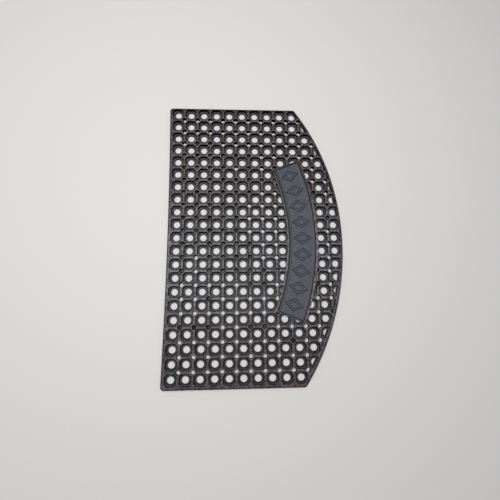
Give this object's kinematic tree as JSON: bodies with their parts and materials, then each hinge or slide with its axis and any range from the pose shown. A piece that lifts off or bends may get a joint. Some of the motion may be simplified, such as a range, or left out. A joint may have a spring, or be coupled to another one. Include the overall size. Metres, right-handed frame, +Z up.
{
  "type": "rubber doormat",
  "caption": "Half-round hollow doormat of moulded black rubber: a net of square cells with drain holes, a curved rim and a plain curved panel.",
  "frame": {"origin": "middle of the outline's box, on the floor", "axes": "+Y along the straight long edge, +X from the straight edge to the curved one, +Z up out of the top face"},
  "size_m": [0.4606, 0.738, 0.01],
  "materials": {
    "rubber": "moulded, satin, dusty on its raised faces"
  },
  "bodies": {
    "root": {"mat": "rubber"}
  },
  "joints": []
}
